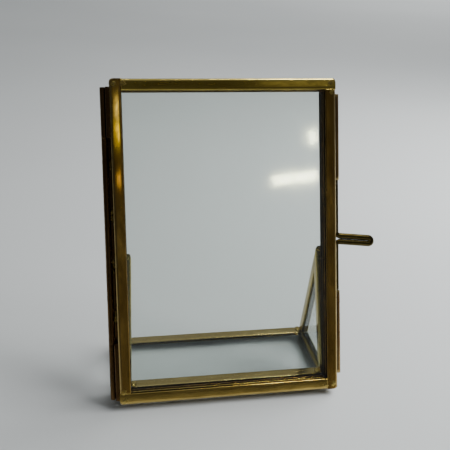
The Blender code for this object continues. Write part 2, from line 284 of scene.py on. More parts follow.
def channel_wear(outline, lip, depth):
    """1 on the folds and the lips' edges, where hands rub the tarnish off, 0 on the flats."""
    result = []
    for point in outline:
        to_fold = min(point.length, (point - Vector((0, depth))).length)
        fold = max(0.0, 1 - to_fold / (1.1 * FOLD_RADIUS))
        edge = max(0.0, 1 - (lip - point.x) / (0.7 * SHEET))
        result.append(min(1.0, FOLD_WEAR * fold + EDGE_WEAR * edge))
    return result


def end_line(points, sign, outer, inner, mitred):
    """Where a channel ends at its outer side and at its lips' edge."""
    if not mitred:
        end = max(point[0] * sign for point in points) * sign
        return end, end
    edge = (inner - outer) / 16
    at_inner = max(point[0] * sign for point in points if point[1] > inner - edge) * sign
    at_outer = max(point[0] * sign for point in points if point[1] < outer + 0.02 * MM) * sign
    return at_outer, at_inner


def channel_stations(length, through):
    """Positions from 0 to length, close together at an end with a rounded corner."""
    steps = max(2, round(length / STATION))
    places = {length * step / steps for step in range(steps + 1)}
    for at_end, distance_of in ((through[0], lambda d: d), (through[1], lambda d: length - d)):
        if at_end:
            for step in range(1, 7):
                angle = math.pi / 2 * step / 6
                places.add(distance_of(CORNER_RADIUS * (1 - math.cos(angle))))
    return sorted(places)


def folded_channel(node, along, inward, across, ends, near_lip=None):
    """A U of brass sheet in the place of a CAD channel.

    ends says how it starts and ends: through (closed, round outer corner), butt or mitre. near_lip is the
    length of the lip on the near side of across, where it differs from the other.
    """
    axes = (along, inward, across)
    points = [tuple(point.dot(axis) for axis in axes) for point in node_points(node)]
    outer, inner = min(point[1] for point in points), max(point[1] for point in points)
    near, far = min(point[2] for point in points), max(point[2] for point in points)
    lip, depth = inner - outer, far - near
    start = end_line(points, -1, outer, inner, ends[0] == "mitre")
    end = end_line(points, 1, outer, inner, ends[1] == "mitre")
    grow = [SEAM_GAP if kind != "through" else 0 for kind in ends]
    start = [place - grow[0] for place in start]
    end = [place + grow[1] for place in end]
    through = [kind == "through" for kind in ends]

    outline = strip_outline(channel_midline(lip, depth, near_lip), SHEET)
    wear = channel_wear(outline, lip, depth)
    girth = girths(outline)
    seed = seed_of(node)
    length = end[0] - start[0]
    rings, strip, worn = [], [], []
    for place in channel_stations(length, through):
        share = place / length
        corner = 0.0
        for at_end, distance in ((through[0], place), (through[1], length - place)):
            if at_end and distance < CORNER_RADIUS:
                rise = math.sqrt(CORNER_RADIUS ** 2 - (CORNER_RADIUS - distance) ** 2)
                corner = CORNER_RADIUS - rise
        fade = min(1.0, min(place, length - place) / CALM_END)
        sway = wave(seed, place) * fade
        twist = wave(seed + 31, place, TWIST, TWIST_LENGTH) * fade
        ring = []
        for point, around in zip(outline, girth):
            inside = point.x + corner * (1 - point.x / lip)
            run_start = start[0] + (start[1] - start[0]) * point.x / lip
            run_end = end[0] + (end[1] - end[0]) * point.x / lip
            run = run_start + (run_end - run_start) * share
            tilt = twist * (point.x - lip / 2)
            ripple = wave(seed + 57, place, RIPPLE, RIPPLE_LENGTH) * point.x / lip * fade
            ring.append(from_axes(run, outer + inside, near + point.y + sway + tilt + ripple, axes))
            strip.append(Vector((run, around, seed * MM)))
        rings.append(ring)
        worn += wear
    shape = bmesh.new()
    verts = bridge_rings(shape, rings)
    cap_strip(shape, verts[0])
    cap_strip(shape, verts[-1])
    piece = finish_mesh(node + "_fold", shape, {"strip": strip, "wear": worn}, sharp=50)
    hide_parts(node)
    return piece


# --------------------------------------------------------------------------------------------------
# Beads, blobs and wires

def tube_along(shape, path, radii, segments=12):
    """A round bead along a path, closed at both ends, its radius given at each point."""
    rings = []
    tangent = (path[1] - path[0]).normalized()
    side = tangent.orthogonal().normalized()
    for index, point in enumerate(path):
        before, after = path[max(index - 1, 0)], path[min(index + 1, len(path) - 1)]
        tangent = (after - before).normalized()
        side = (side - tangent * side.dot(tangent)).normalized()
        other = tangent.cross(side)
        ring = []
        for step in range(segments):
            angle = 2 * math.pi * step / segments
            ring.append(point + (side * math.cos(angle) + other * math.sin(angle)) * radii[index])
        rings.append(ring)
    verts = bridge_rings(shape, rings)
    shape.faces.new(verts[0])
    shape.faces.new(verts[-1])


def rounded_ends(path, radius, height=1.0, steps=5):
    """Extra points and radii that give a wire domed ends, half-round where height is 1."""
    first, last = (path[0] - path[1]).normalized(), (path[-1] - path[-2]).normalized()
    head, tail = [], []
    for step in range(1, steps + 1):
        angle = math.pi / 2 * step / (steps + 0.3)
        head.append((path[0] + first * radius * height * math.sin(angle), radius * math.cos(angle)))
        tail.append((path[-1] + last * radius * height * math.sin(angle), radius * math.cos(angle)))
    both = head[::-1] + [(point, radius) for point in path] + tail
    return [point for point, _ in both], [size for _, size in both]


def blob(shape, centre, axes, sizes, seed, uneven=0.16):
    """A lump of solder: a ball stretched along three directions and made uneven."""
    made = bmesh.ops.create_icosphere(shape, subdivisions=4, radius=1)["verts"]
    for vert in made:
        bump = 1 + uneven * noise.noise(vert.co * 1.4 + Vector((seed, 0, 0)))
        bump += uneven / 3 * noise.noise(vert.co * 4 + Vector((0, seed, 0)))
        vert.co = centre + sum((axis * vert.co[index] * sizes[index] * bump
                                for index, axis in enumerate(axes)), Vector())


def seam_bead(shape, path, seed):
    """A bead of solder laid along a joint, thinner at both ends."""
    radii = []
    for index in range(len(path)):
        fade = min(1.0, (min(index, len(path) - 1 - index) + 1) / 3)
        radii.append(BEAD * (0.7 + 0.3 * fade + 0.35 * noise.noise(Vector((index * 0.6, seed, 0)))))
    tube_along(shape, path, radii, 10)


# --------------------------------------------------------------------------------------------------
# The pieces

def framed_pane(prefix, body):
    """Four channels round a rectangular pane, and the solder at its corners."""
    middle = node_centre(prefix + "_glass")
    plan = {
        "bottom_channel": (RIGHT, ("through", "butt")),
        "right_channel": (UP, ("through", "butt")),
        "top_channel": (RIGHT, ("butt", "through")),
        "left_channel": (UP, ("butt", "through")),
    }
    for name, (along, ends) in plan.items():
        node = f"{prefix}_{name}"
        inward = BACK.cross(along)
        if inward.dot(middle - node_centre(node)) < 0:
            inward = -inward
        piece = folded_channel(node, along, inward, BACK, ends)
        dress(piece, body, "channel_brass")
        corner_solder(prefix, name, node, along, inward, ends, body)


def corner_solder(prefix, name, node, along, inward, ends, body):
    """Fill the closed end of a channel and run a bead along its butt joint."""
    low, high = extent(node, along)
    outer, inner = extent(node, inward)
    near, far = extent(node, BACK)
    axes = (along, inward, BACK)
    lip = inner - outer
    seed = seed_of(node)
    shape = bmesh.new()
    for kind, place, sign in ((ends[0], low, -1), (ends[1], high, 1)):
        if kind == "through":
            plug_end(shape, place, sign, outer, lip, near, far, axes)
            centre = from_axes(place - sign * lip * 0.5, outer + lip * 0.42, near + 0.12 * MM, axes)
            blob(shape, centre, axes, CORNER_LUMP, seed, 0.3)
        else:
            path = []
            for point in channel_midline(lip, far - near):
                path.append(from_axes(place + sign * SEAM_GAP, outer + point.x, near + point.y, axes))
            seam_bead(shape, moved_outward(path, place, outer, lip, near, far, axes), seed)
            centre = from_axes(place - sign * 0.9 * MM, outer + lip * 0.4, near + 0.1 * MM, axes)
            blob(shape, centre, axes, SEAM_LUMP, seed + 7, 0.4)
    piece = finish_mesh(f"{prefix}_{name}_solder", shape)
    dress(piece, body, "solder")


def moved_outward(path, place, outer, lip, near, far, axes):
    """Move a seam's path out to the channel's surface, so that its bead stands a little proud."""
    centre = from_axes(place, outer + lip, (near + far) / 2, axes)
    result = []
    for point in path:
        offset = point - centre
        flat = offset - axes[0] * offset.dot(axes[0])
        result.append(point + flat.normalized() * BEAD_PROUD)
    return result


def plug_end(shape, place, sign, outer, lip, near, far, axes):
    """Solder that closes a channel's end, following its rounded outer corner."""
    wall = SHEET * 0.8
    outline = [(CORNER_RADIUS, wall)]
    for step in range(7):
        angle = math.pi / 2 * step / 6
        reach = CORNER_RADIUS * (1 - math.sin(angle))
        height = CORNER_RADIUS * (1 - math.cos(angle))
        outline.append((reach + PLUG_INSET, height + PLUG_INSET))
    outline += [(PLUG_INSET, lip - 0.1 * MM), (PLUG_DEPTH, lip - 0.1 * MM)]
    rings = []
    for side in (near + wall, far - wall):
        rings.append([from_axes(place - sign * back, outer + rise, side, axes) for back, rise in outline])
    verts = bridge_rings(shape, rings)
    shape.faces.new(verts[0])
    shape.faces.new(verts[1])


def glass_base():
    """The channels on the front and the back edge of the base's pane."""
    for node, inward in (("base_front_channel", AWAY), ("base_back_channel", -AWAY)):
        piece = folded_channel(node, RIGHT, inward, TOP, ("butt", "butt"), BASE_LOWER_LIP)
        dress(piece, "stand", "channel_brass")


def side_triangle(prefix):
    """Three mitred channels round a triangular pane, with solder over each mitre."""
    pane = prefix + "_glass"
    middle = sum(node_points(pane), Vector()) / len(node_points(pane))
    across = triangle_normal(pane)
    corners = triangle_corners(pane, across)
    edges = [(corners[(index + 1) % 3] - corner).normalized() for index, corner in enumerate(corners)]
    shape = bmesh.new()
    for name in ("foot_channel", "sloping_channel", "upright_channel"):
        node = f"{prefix}_{name}"
        along = max(edges, key=lambda edge: extent(node, edge)[1] - extent(node, edge)[0])
        inward = across.cross(along)
        if inward.dot(middle - node_centre(node)) < 0:
            inward = -inward
        piece = folded_channel(node, along, inward, across, ("mitre", "mitre"))
        dress(piece, "stand", "channel_brass")
    for index, corner in enumerate(corners):
        outward = (corner - middle).normalized()
        other = across.cross(outward)
        size, place = FOOT_LUMP, corner + outward * 0.9 * MM
        if place.z > 2.5 * MM:
            size, place = APEX_LUMP, corner - outward * 0.2 * MM
        blob(shape, place, (outward, other, across), size, seed_of(prefix) + index)
    for vert in shape.verts:
        vert.co.z = max(vert.co.z, 0.15 * MM)   # keep the lumps off the table
    piece = finish_mesh(prefix + "_solder", shape)
    dress(piece, "stand", "solder")


def triangle_normal(pane):
    """The direction through a triangular pane: towards +X, square to its two faces."""
    mesh = frame["nodes"][pane].data
    largest = max(mesh.polygons, key=lambda face: face.area)
    normal = largest.normal.copy()
    return normal if normal.x > 0 else -normal


def triangle_corners(pane, across):
    """The three corners of a pane, half way through it."""
    points = node_points(pane)
    middle = sum((point.dot(across) for point in points)) / len(points)
    flat = []
    for point in points:
        place = point - across * (point.dot(across) - middle)
        if all((place - other).length > 0.1 * MM for other in flat):
            flat.append(place)
    return flat


def solder_lumps():
    """Lumps that join the base's channels to the feet of the sides."""
    for node in ("solder_front_left", "solder_front_right", "solder_back_left", "solder_back_right"):
        low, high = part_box(node)
        middle = (low + high) / 2
        side = 1 if middle.x > 0 else -1
        shape = bmesh.new()
        centre = Vector((middle.x + side * 0.7 * MM, middle.y, low.z - 0.1 * MM))
        half = (high - low) / 2
        blob(shape, centre, (RIGHT, AWAY, TOP), (half.x * 1.5, half.y * 1.15, half.z * 1.5), seed_of(node))
        piece = finish_mesh(node + "_lump", shape)
        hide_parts(node)
        dress(piece, "stand", "solder")


def knuckle(node, body):
    """Brass strip rolled round the hinge pin, with a leaf soldered beside the frame."""
    left, _ = extent(node, RIGHT)
    front, back = extent(node, BACK)
    low, high = extent(node, UP)
    hinge_low, hinge_high = extent("hinge_pin", UP)
    if low > hinge_low + KNUCKLE_SLACK:
        low -= KNUCKLE_SLACK
    if high < hinge_high - KNUCKLE_SLACK:
        high += KNUCKLE_SLACK
    axis_right = sum(extent("hinge_pin", RIGHT)) / 2
    axis_back = sum(extent("hinge_pin", BACK)) / 2
    radius = axis_right - left
    leaf_side = 1 if back - axis_back > axis_back - front else -1
    reach = max(back - axis_back, axis_back - front)
    middle = radius - KNUCKLE_SHEET / 2
    flange = extent("door_left_channel", RIGHT)[0] - axis_right - SEAM_GAP
    end = reach - KNUCKLE_SHEET / 2
    bend = KNUCKLE_BEND
    line = [Vector((flange - (flange - middle - bend) * step / 3, end)) for step in range(3)]
    for step in range(5):
        angle = math.pi / 2 * step / 4
        line.append(Vector((middle + bend * (1 - math.sin(angle)), end - bend * (1 - math.cos(angle)))))
    line += [Vector((middle, (end - bend) * (1 - step / 6))) for step in range(1, 6)]
    steps = 40
    for step in range(steps + 1):
        angle = -ROLL_ANGLE * step / steps
        line.append(Vector((middle * math.cos(angle), middle * math.sin(angle))))
    outline = strip_outline(line, KNUCKLE_SHEET)
    girth = girths(outline)
    seed = seed_of(node)
    length = high - low
    steps = round(length / (2 * MM))
    round_off = 0.15 * MM
    places = [0, round_off * 0.3, round_off] + [
        round_off + (length - 2 * round_off) * step / steps for step in range(1, steps)] + [
        length - round_off, length - round_off * 0.3, length]
    # The cut ends are a little narrower, so that they look rounded.
    squeeze = {0: 0.1 * MM, 1: 0.03 * MM, len(places) - 1: 0.1 * MM, len(places) - 2: 0.03 * MM}
    rings, strip, worn = [], [], []
    for index, place in enumerate(places):
        swell = wave(seed, place, 0.03 * MM, 8 * MM) - squeeze.get(index, 0) * 0.5
        ring = []
        for point, around in zip(outline, girth):
            pull = 1 + swell / max(point.length, 1 * MM)
            behind = max(0, point.y - radius) / (reach - radius) if leaf_side > 0 else 0
            runout = (place / length - 0.5) * 2 * FLANGE_RUNOUT * behind
            ring.append(RIGHT * (axis_right + point.x * pull)
                        + BACK * (axis_back + leaf_side * point.y * pull)
                        + UP * (low + place + runout))
            strip.append(Vector((place, around, seed * MM)))
            worn.append(0.0)
        rings.append(ring)
    shape = bmesh.new()
    verts = bridge_rings(shape, rings)
    cap_strip(shape, verts[0])
    cap_strip(shape, verts[-1])
    piece = finish_mesh(node + "_roll", shape, {"strip": strip, "wear": worn}, sharp=50)
    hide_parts(node)
    dress(piece, body, "tube_brass")
    hinge_solder(node, body, axis_right + radius, axis_back + leaf_side * reach * 0.62, low, high)


def hinge_solder(node, body, leaf_right, depth, low, high):
    """Pads of solder between a leaf and the frame's side."""
    frame_left = extent("door_left_channel", RIGHT)[0]
    pads = max(2, round((high - low) / PAD_SPACING))
    shape = bmesh.new()
    width = (frame_left - leaf_right) / 2 + 0.25 * MM
    for pad in range(pads):
        height = low + (high - low) * (pad + 0.5) / pads
        centre = RIGHT * (frame_left + leaf_right) / 2 + BACK * depth + UP * height
        blob(shape, centre, (RIGHT, BACK, UP), (width, *HINGE_PAD), seed_of(node) + pad, 0.3)
    piece = finish_mesh(node + "_solder", shape)
    dress(piece, body, "solder")


def pin():
    """Straight wire through the three knuckles, its ends peened to low domes."""
    low, high = extent("hinge_pin", UP)
    left, right = extent("hinge_pin", RIGHT)
    front, back = extent("hinge_pin", BACK)
    radius = (right - left) / 2
    centre = RIGHT * (left + right) / 2 + BACK * (front + back) / 2
    steps = 30
    run = high - low - 2 * radius
    path = [centre + UP * (low + radius + run * step / steps) for step in range(steps + 1)]
    shape = bmesh.new()
    tube_along(shape, *rounded_ends(path, radius), ROUND_STEPS)
    piece = finish_mesh("hinge_pin_wire", shape)
    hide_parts("hinge_pin")
    dress(piece, "stand", "tube_brass")


def latch_tube(node, body, solder_place):
    """Drawn brass tube with turned-in rims, soldered to the frame's side near each end."""
    low, high = extent(node, UP)
    left, right = extent(node, RIGHT)
    front, back = extent(node, BACK)
    centre = RIGHT * (left + right) / 2 + BACK * (front + back) / 2
    radius = (right - left) / 2
    bore = radius - TUBE_WALL
    rim = TUBE_RIM
    profile = [(bore, low + rim), (bore + rim / 3, low + 0.3 * rim), (bore + TUBE_WALL / 2, low),
               (radius - rim / 3, low + 0.3 * rim), (radius, low + rim)]
    steps = round((high - low) / (2 * MM))
    outside = [(radius, low + rim + (high - low - 2 * rim) * step / steps) for step in range(1, steps)]
    inside = [(bore, height) for _, height in outside[::-1]]
    top = [(size, low + high - height) for size, height in profile[::-1]]
    section = profile + outside + top + inside
    seed = seed_of(node)
    segments = 40
    rings, strip, worn = [], [], []
    for size, height in section:
        swell = wave(seed, height, 0.015 * MM, 9 * MM)
        ring = []
        for step in range(segments):
            angle = 2 * math.pi * step / segments
            ring.append(centre + UP * height
                        + (RIGHT * math.cos(angle) + BACK * math.sin(angle)) * (size + swell))
            strip.append(Vector((height, radius * angle, seed * MM)))
            worn.append(0.8 if min(height - low, high - height) < 1.5 * rim else 0.0)
        rings.append(ring)
    shape = bmesh.new()
    bridge_rings(shape, rings + [rings[0]])
    bmesh.ops.remove_doubles(shape, verts=shape.verts, dist=0.001 * MM)
    count = len(rings) * segments
    piece = finish_mesh(node + "_drawn", shape, {"strip": strip[:count], "wear": worn[:count]})
    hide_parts(node)
    dress(piece, body, "tube_brass")
    shape = bmesh.new()
    for index, share in enumerate((0.12, 0.88)):
        height = low + (high - low) * share
        place = RIGHT * (left - 0.05 * MM) + BACK * solder_place + UP * height
        blob(shape, place, (RIGHT, BACK, UP), TUBE_LUMP, seed + index, 0.3)
    piece = finish_mesh(node + "_solder", shape)
    dress(piece, body, "solder")


def bolt():
    """One wire: a straight bolt whose middle is bent out into a hairpin handle."""
    node = "latch_bolt"
    low, high = extent(node, UP)
    left, right = extent(node, RIGHT)
    front, back = extent(node, BACK)
    radius = (back - front) / 2
    axis = RIGHT * (left + radius) + BACK * (front + back) / 2
    reach = right - left - radius
    half = HANDLE_WIRE + 0.02 * MM      # half the distance between the handle's two runs
    ends = [point.dot(UP) for point in node_points(node) if point.dot(RIGHT) > right - 1 * MM]
    middle = (min(ends) + max(ends)) / 2 + HANDLE_DROOP * reach
    tip = reach - HANDLE_WIRE - half
    straight, steps, run_steps = 24, 10, 8
    corner = half + HANDLE_BEND         # where the bend starts, above the handle's middle

    # Points (out, height) before the handle droops: upper bolt, bend, upper run, tip, then the lower half.
    upper = high - middle
    flat = [(0.0, upper - (upper - corner) * step / straight) for step in range(straight)]
    for step in range(steps + 1):
        angle = math.pi / 2 * step / steps
        flat.append((HANDLE_BEND * (1 - math.cos(angle)), half + HANDLE_BEND * (1 - math.sin(angle))))
    run = tip - HANDLE_BEND
    flat += [(HANDLE_BEND + run * step / run_steps, half) for step in range(1, run_steps)]
    mirrored = [(out, -height) for out, height in flat[straight:]][::-1]
    for step in range(2 * steps + 1):
        angle = math.pi / 2 - math.pi * step / (2 * steps)
        flat.append((tip + half * math.cos(angle), half * math.sin(angle)))
    lower = middle - low
    flat += mirrored
    flat += [(0.0, -corner - (lower - corner) * step / straight) for step in range(1, straight + 1)]

    path = [axis + RIGHT * out + UP * (middle + height - HANDLE_DROOP * out) for out, height in flat]
    path[0] -= UP * WIRE * WIRE_END
    path[-1] += UP * WIRE * WIRE_END
    path, radii = rounded_ends(path, WIRE, WIRE_END)
    for index, point in enumerate(path):
        out = (point - axis).dot(RIGHT)
        radii[index] += (HANDLE_WIRE - WIRE) * min(1.0, max(0.0, out / HANDLE_BEND))
    shape = bmesh.new()
    tube_along(shape, path, radii, ROUND_STEPS)
    piece = finish_mesh("latch_bolt_wire", shape)
    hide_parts(node)
    dress(piece, "bolt", "tube_brass")


# --------------------------------------------------------------------------------------------------
# Materials

class Nodes:
    """Short names for making and joining the nodes of one material."""

    def __init__(self, name):
        self.material = bpy.data.materials.new(name)
        self.material.use_nodes = True
        self.tree = self.material.node_tree
        self.shader = self.tree.nodes["Principled BSDF"]
        self.output = self.tree.nodes["Material Output"]

    def add(self, kind, inputs=None, **settings):
        node = self.tree.nodes.new(kind)
        for key, value in settings.items():
            setattr(node, key, value)
        for key, value in (inputs or {}).items():
            self.set(node.inputs[key], value)
        return node

    def set(self, socket, value):
        if isinstance(value, bpy.types.NodeSocket):
            self.tree.links.new(value, socket)
        else:
            socket.default_value = value

    def mix(self, factor, low, high):
        node = self.add("ShaderNodeMix", data_type="RGBA")
        for index, value in ((0, factor), (6, low), (7, high)):
            self.set(node.inputs[index], value)
        return node.outputs[2]

    def math(self, operation, first, second=0.0, third=0.0):
        node = self.add("ShaderNodeMath", operation=operation)
        for index, value in enumerate((first, second, third)):
            self.set(node.inputs[index], value)
        return node.outputs[0]

    def span(self, value, low, high, to_low=0.0, to_high=1.0):
        node = self.add("ShaderNodeMapRange", {"Value": value, "From Min": low, "From Max": high,
                                               "To Min": to_low, "To Max": to_high})
        return node.outputs[0]

    def noise(self, vector, scale, detail=3.0, roughness=0.55):
        node = self.add("ShaderNodeTexNoise", {"Vector": vector, "Scale": scale, "Detail": detail,
                                               "Roughness": roughness})
        return node.outputs["Fac"]

    def stretched(self, vector, scale):
        return self.add("ShaderNodeMapping", {"Vector": vector, "Scale": scale}).outputs[0]


def brass_finish(name, clean, tarnish, rubbed, roughness, on_strip=True):
    """Antique brass: brown tarnish in clouds, streaks along the sheet, and edges rubbed bright.

    The pattern follows the sheet where the piece carries "strip" positions, else it fills space.
    """
    n = Nodes(name)
    if on_strip:
        place = n.add("ShaderNodeAttribute", attribute_name="strip").outputs["Vector"]
        edge = n.add("ShaderNodeAttribute", attribute_name="wear").outputs["Fac"]
    else:
        place = n.add("ShaderNodeTexCoord").outputs["Object"]
        edge = 0.0
    clouds = n.noise(n.stretched(place, (55, 160, 1000)), 1.0, 4)
    blotches = n.noise(n.stretched(place, (230, 420, 1000)), 1.0, 5, 0.65)
    streaks = n.noise(n.stretched(place, (90, 5200, 1000)), 1.0, 2)
    grain = n.noise(n.stretched(place, (1500, 2600, 1000)), 1.0, 4)
    cover = n.math("ADD", n.math("MULTIPLY", clouds, 0.65), n.math("MULTIPLY", blotches, 0.35))
    aged = n.span(cover, 0.4, 0.62)
    colour = n.mix(aged, (*clean, 1), (*tarnish, 1))
    colour = n.mix(n.span(streaks, 0.35, 0.75, 0.0, 0.35), colour, (*tarnish, 1))
    stains = n.noise(n.stretched(place, (26, 90, 1000)), 1.0, 1)
    colour = n.mix(n.span(stains, 0.36, 0.6, 0.0, 0.6), colour, (*tarnish, 1))
    if on_strip:
        worn = n.math("MULTIPLY", edge, n.span(blotches, 0.3, 0.62, 0.25, 1.0))
        colour = n.mix(worn, colour, (*rubbed, 1))
    n.set(n.shader.inputs["Base Color"], colour)
    n.shader.inputs["Metallic"].default_value = 1
    gloss = n.span(aged, 0.0, 1.0, roughness - 0.06, roughness + 0.09)
    gloss = n.math("ADD", gloss, n.span(streaks, 0.3, 0.7, -0.03, 0.05))
    n.set(n.shader.inputs["Roughness"], gloss)
    height = n.math("ADD", n.math("MULTIPLY", streaks, 0.5), n.math("MULTIPLY", grain, 0.5))
    bump = n.add("ShaderNodeBump", {"Strength": 0.12, "Distance": 0.03 * MM, "Height": height})
    n.set(n.shader.inputs["Normal"], bump.outputs[0])
    return n.material


def solder_finish():
    """Brass-coloured solder, duller than the sheet, with a frosty grain."""
    n = Nodes("solder")
    place = n.add("ShaderNodeTexCoord").outputs["Object"]
    clouds = n.noise(place, 420, 4)
    grain = n.noise(place, 2600, 3)
    colour = n.mix(n.span(clouds, 0.35, 0.65), (0.56, 0.42, 0.12, 1), (0.27, 0.18, 0.045, 1))
    n.set(n.shader.inputs["Base Color"], colour)
    n.shader.inputs["Metallic"].default_value = 1
    n.set(n.shader.inputs["Roughness"], n.span(clouds, 0.3, 0.7, 0.2, 0.34))
    bump = n.add("ShaderNodeBump", {"Strength": 0.2, "Distance": 0.04 * MM, "Height": grain})
    n.set(n.shader.inputs["Normal"], bump.outputs[0])
    return n.material


def glass_finish():
    """Thin clear pane, faintly green, with a mirror-like surface and light smears."""
    n = Nodes("clear_glass")
    place = n.add("ShaderNodeTexCoord").outputs["Object"]
    smears = n.noise(n.stretched(place, (30, 30, 12)), 1.0, 5, 0.7)
    clear = n.add("ShaderNodeBsdfTransparent", {"Color": (0.945, 0.962, 0.954, 1)})
    dull = n.span(smears, 0.4, 0.8, 0.05, 0.11)
    mirror = n.add("ShaderNodeBsdfGlossy", {"Color": (1, 1, 1, 1), "Roughness": dull})
    facing = n.add("ShaderNodeLayerWeight", {"Blend": 0.5}).outputs["Facing"]
    share = n.span(n.math("POWER", facing, 5.0), 0.0, 1.0, 0.04, 1.0)
    both = n.add("ShaderNodeMixShader", {0: share, 1: clear.outputs[0], 2: mirror.outputs[0]})
    n.tree.nodes.remove(n.shader)
    n.set(n.output.inputs["Surface"], both.outputs[0])
    return n.material


# Colours where the brass is clean, tarnished and rubbed, and its roughness
BRASS = {
    "channel_brass": ((0.62, 0.47, 0.10), (0.25, 0.175, 0.033), (0.66, 0.54, 0.2), 0.15),
    # The base rails' brass is a lighter, paler copy of the channel brass: a painted reflection of the
    # bright room behind, over the same tarnish pattern.
    "base_brass_painted_light": ((0.66, 0.52, 0.21), (0.36, 0.26, 0.09), (0.7, 0.58, 0.28), 0.17),
    "stile_brass": ((0.62, 0.38, 0.09), (0.2, 0.11, 0.025), (0.5, 0.39, 0.17), 0.15),
    "rail_brass": ((0.66, 0.46, 0.125), (0.27, 0.18, 0.042), (0.66, 0.52, 0.2), 0.15),
    # The rear frame's brass is a darker copy of the channel brass: painted shade for the frame behind the
    # door.
    "rear_brass_painted_shade": ((0.25, 0.15, 0.042), (0.055, 0.032, 0.013), (0.24, 0.16, 0.055), 0.2),
    "latch_brass": ((0.40, 0.26, 0.10), (0.15, 0.08, 0.03), (0.62, 0.48, 0.2), 0.22),
    "tube_brass": ((0.22, 0.125, 0.045), (0.07, 0.037, 0.014), (0.50, 0.38, 0.16), 0.22),
    "wire_brass": ((0.115, 0.088, 0.026), (0.045, 0.032, 0.010), (0.7, 0.5, 0.2), 0.24),
}
FINISH = {name: brass_finish(name, *look, on_strip=name != "wire_brass") for name, look in BRASS.items()}
FINISH["solder"] = solder_finish()
FINISH["clear_glass"] = glass_finish()

# Pieces whose brass has aged in its own way
OWN_FINISH = {
    "door_left_channel_fold": "stile_brass",
    "door_right_channel_fold": "stile_brass",
    "door_bottom_channel_fold": "rail_brass",
}


def dress(piece, body, slot):
    """Give a piece its material, chosen by its slot and its name, and the body that it moves with."""
    finish = OWN_FINISH.get(piece.name, slot)
    # The rear frame's channels get the darker copy of the brass, which is painted shade.
    if slot == "channel_brass" and piece.name.startswith("rear_"):
        finish = "rear_brass_painted_shade"
    # The base rails get the lighter copy of the brass, which is a painted reflection.
    elif slot == "channel_brass" and piece.name.startswith("base_"):
        finish = "base_brass_painted_light"
    elif slot == "tube_brass" and "latch_tube" in piece.name:
        finish = "latch_brass"
    elif slot == "tube_brass" and "strip" not in piece.data.attributes:
        finish = "wire_brass"
    piece.data.materials.clear()
    piece.data.materials.append(FINISH[finish])
    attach(piece, body)


def dress_glass():
    """Give the CAD panes their glass; only the rear pane, which mirrors the lamps, casts a shadow."""
    for name, node in frame["nodes"].items():
        if name.endswith("_glass"):
            node.data.materials.clear()
            node.data.materials.append(FINISH["clear_glass"])
            node.visible_shadow = name == "rear_glass"


# --------------------------------------------------------------------------------------------------
# Stage, light and camera

def add_floor():
    """A wide sheet of pale grey paper, slightly cloudy."""
    shape = bmesh.new()
    bmesh.ops.create_grid(shape, x_segments=2, y_segments=2, size=6.0)
    floor = finish_mesh("floor", shape)
    n = Nodes("floor_paper")
    place = n.add("ShaderNodeTexCoord").outputs["Object"]
    soft = n.noise(place, 2.2, 2)
    colour = n.mix(n.span(soft, 0.3, 0.7), (0.545, 0.57, 0.575, 1), (0.585, 0.61, 0.612, 1))
    n.set(n.shader.inputs["Base Color"], colour)
    n.shader.inputs["Roughness"].default_value = 0.75
    floor.data.materials.append(n.material)


def area_light(name, place, target, width, height, power, colour=(1, 1, 1), seen=("diffuse", "glossy")):
    data = bpy.data.lights.new(name, "AREA")
    data.shape = "RECTANGLE"
    data.size, data.size_y = width, height
    data.energy = power
    data.color = colour
    light = bpy.data.objects.new(name, data)
    direction = (Vector(target) - Vector(place)).normalized()
    light.location = place
    light.rotation_euler = direction.to_track_quat("-Z", "Y").to_euler()
    light.visible_camera = False
    light.visible_diffuse = "diffuse" in seen
    light.visible_glossy = "glossy" in seen
    light.visible_transmission = False
    bpy.context.scene.collection.objects.link(light)
    return light


def light_only(lamps, name, pieces):
    """Let lamps reach only the pieces named."""
    receivers = bpy.data.collections.new(name)
    for piece in pieces:
        receivers.objects.link(bpy.data.objects[piece])
    for lamp in lamps:
        lamp.light_linking.receiver_collection = receivers


def reflected_lamp(name, right, up, width, height, radiance, colour, distance=LAMP_DISTANCE):
    """A lamp placed so that its mirror image stands at a spot on the door's front face.

    right and up are measured from the door's lower left corner; width and height are the lamp's own.
    """
    power = radiance * math.pi * width * height
    corner = RIGHT * extent("door_left_channel", RIGHT)[0] + UP * extent("door_bottom_channel", UP)[0]
    spot = corner + BACK * extent("door_left_channel", BACK)[0] + RIGHT * right + UP * up
    ray = (spot - CAMERA_PLACE).normalized()
    bounced = ray - 2 * ray.dot(BACK) * BACK
    return area_light(name, spot + bounced * distance, spot, width, height, power, colour, seen=("glossy",))


def sun_light(name, direction, energy, spread):
    data = bpy.data.lights.new(name, "SUN")
    data.energy = energy
    data.angle = math.radians(spread)
    light = bpy.data.objects.new(name, data)
    light.rotation_euler = Vector(direction).to_track_quat("-Z", "Y").to_euler()
    light.visible_glossy = False
    bpy.context.scene.collection.objects.link(light)


